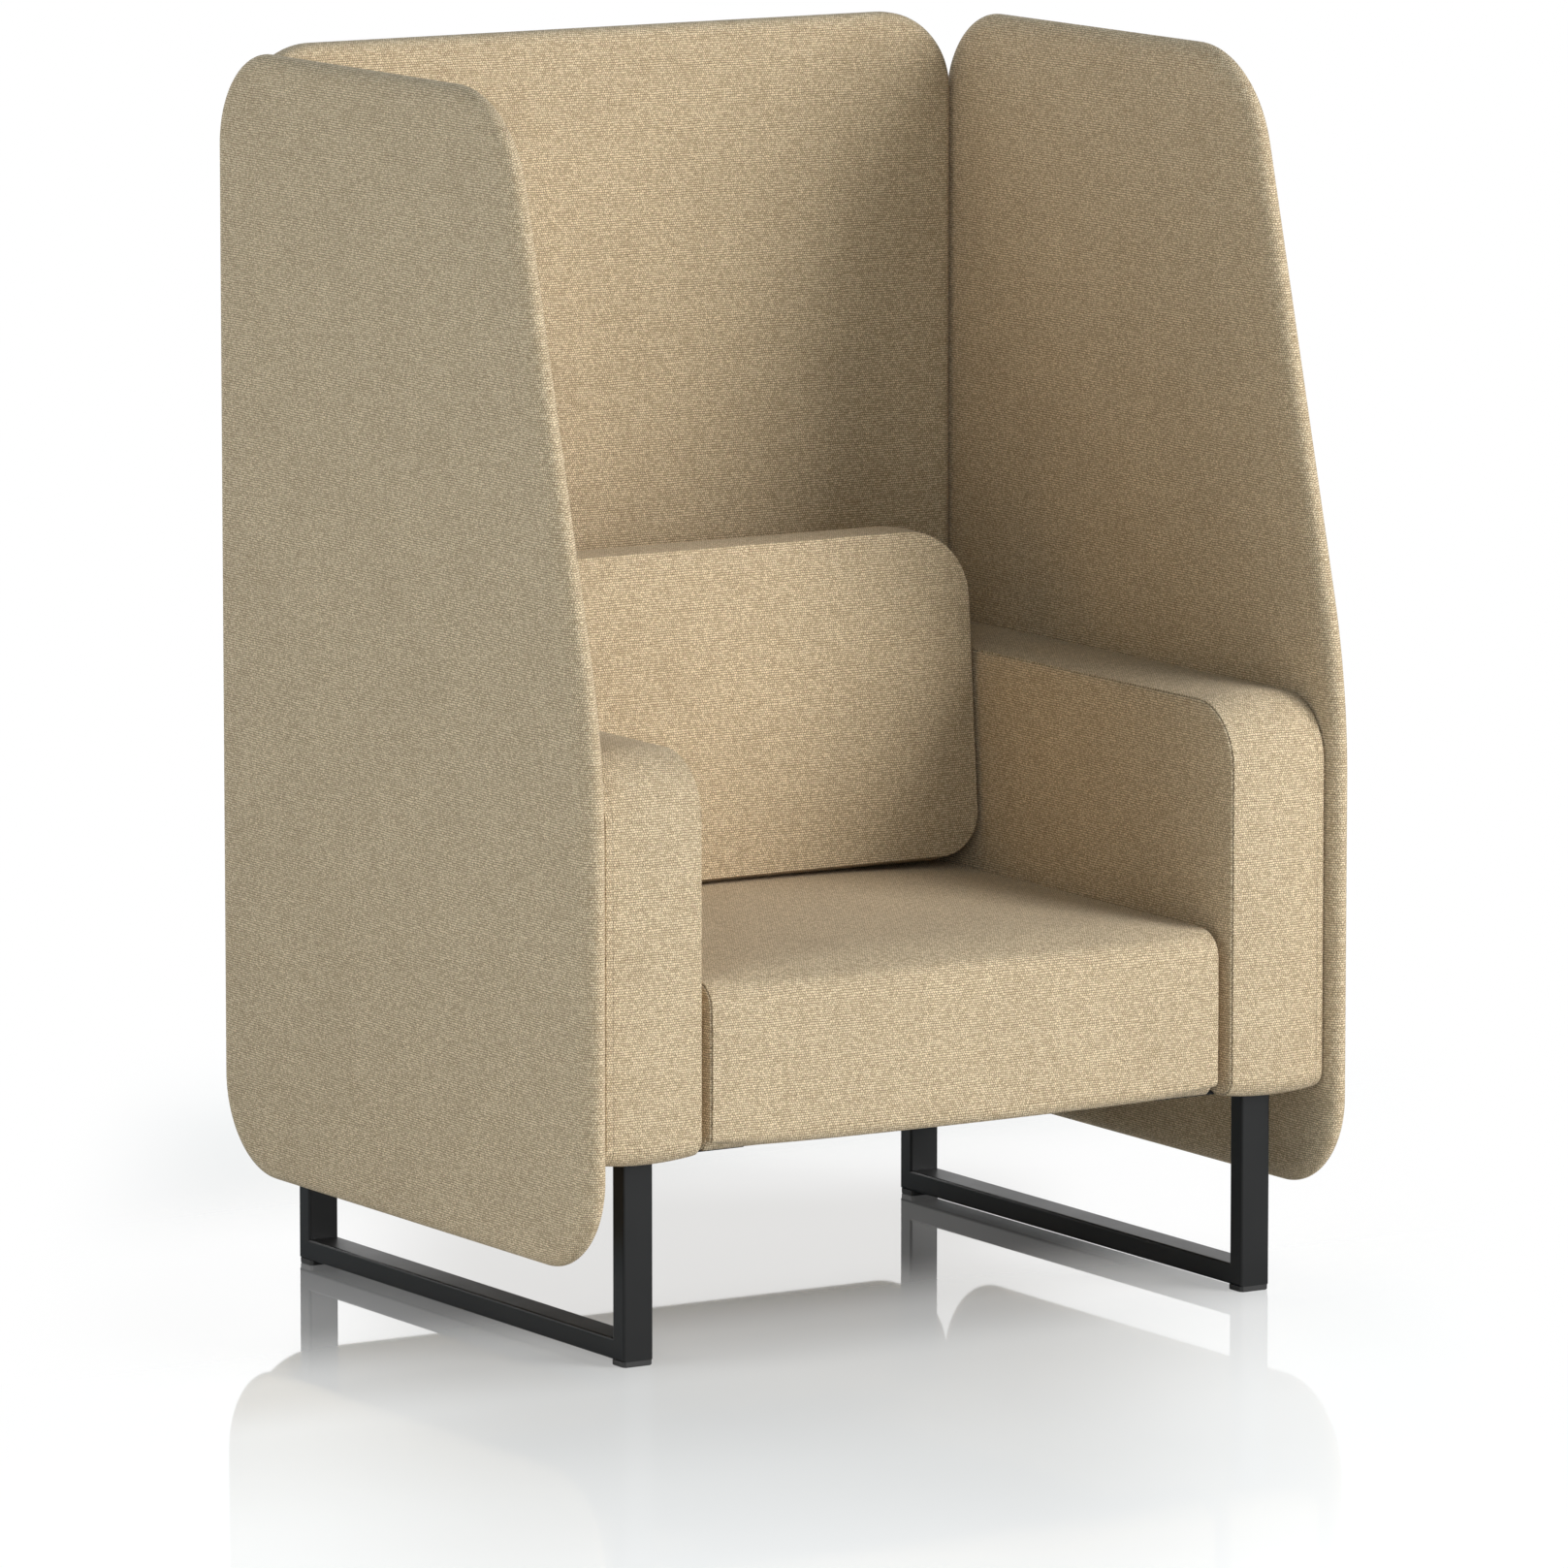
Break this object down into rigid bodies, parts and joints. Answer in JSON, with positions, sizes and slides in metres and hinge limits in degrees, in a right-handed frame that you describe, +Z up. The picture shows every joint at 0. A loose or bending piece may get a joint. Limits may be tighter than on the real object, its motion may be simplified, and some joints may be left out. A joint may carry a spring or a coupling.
{
  "type": "privacy booth sofa",
  "caption": "Single upholstered booth sofa with tall rounded privacy panels on the sides and back, boxed arms, crowned seat, back cushion and black sled legs.",
  "frame": {"origin": "on the floor under the middle of the sofa's outer box", "axes": "+Z up, the sitter faces -Y, +X is to the right of a person looking at the front"},
  "size_m": [1.05, 0.864, 1.463],
  "materials": {
    "cover_fabric": "woven melange",
    "black_steel": "satin powder coat",
    "black_plastic": "moulded",
    "plywood": "raw board",
    "timber": "planed",
    "webbing": "woven strap",
    "dust_cloth": "non-woven",
    "zinc_steel": "zinc plated"
  },
  "bodies": {
    "root": {"back_cushion": "cover_fabric", "back_lower_rail": "timber", "back_panel_core": "plywood", "back_panel_front_pad": "cover_fabric", "back_panel_rear_pad": "cover_fabric", "back_rest_pad": "cover_fabric", "back_upper_rail": "timber", "back_webbing": "webbing", "left_arm_band": "cover_fabric", "left_arm_inner_board": "plywood", "left_arm_inner_facing": "cover_fabric", "left_arm_outer_board": "plywood", "left_arm_outer_facing": "cover_fabric", "left_arm_rails": "timber", "left_back_upright": "timber", "left_floor_rail": "black_steel", "left_front_glide": "black_plastic", "left_front_leg": "black_steel", "left_front_plate": "black_steel", "left_panel_core": "plywood", "left_panel_inner_pad": "cover_fabric", "left_panel_outer_pad": "cover_fabric", "left_rear_glide": "black_plastic", "left_rear_leg": "black_steel", "left_rear_plate": "black_steel", "left_seat_facing": "cover_fabric", "left_seat_side_rail": "timber", "panel_bolts": "zinc_steel", "plate_bolts": "zinc_steel", "right_arm_band": "cover_fabric", "right_arm_inner_board": "plywood", "right_arm_inner_facing": "cover_fabric", "right_arm_outer_board": "plywood", "right_arm_outer_facing": "cover_fabric", "right_arm_rails": "timber", "right_back_upright": "timber", "right_floor_rail": "black_steel", "right_front_glide": "black_plastic", "right_front_leg": "black_steel", "right_front_plate": "black_steel", "right_panel_core": "plywood", "right_panel_inner_pad": "cover_fabric", "right_panel_outer_pad": "cover_fabric", "right_rear_glide": "black_plastic", "right_rear_leg": "black_steel", "right_rear_plate": "black_steel", "right_seat_facing": "cover_fabric", "right_seat_side_rail": "timber", "seat_cross_webbing": "webbing", "seat_cushion": "cover_fabric", "seat_dust_cover": "dust_cloth", "seat_front_rail": "timber", "seat_rear_rail": "timber", "seat_webbing": "webbing", "seat_webbing_rail": "timber", "upright_bolts": "zinc_steel"}
  },
  "joints": []
}
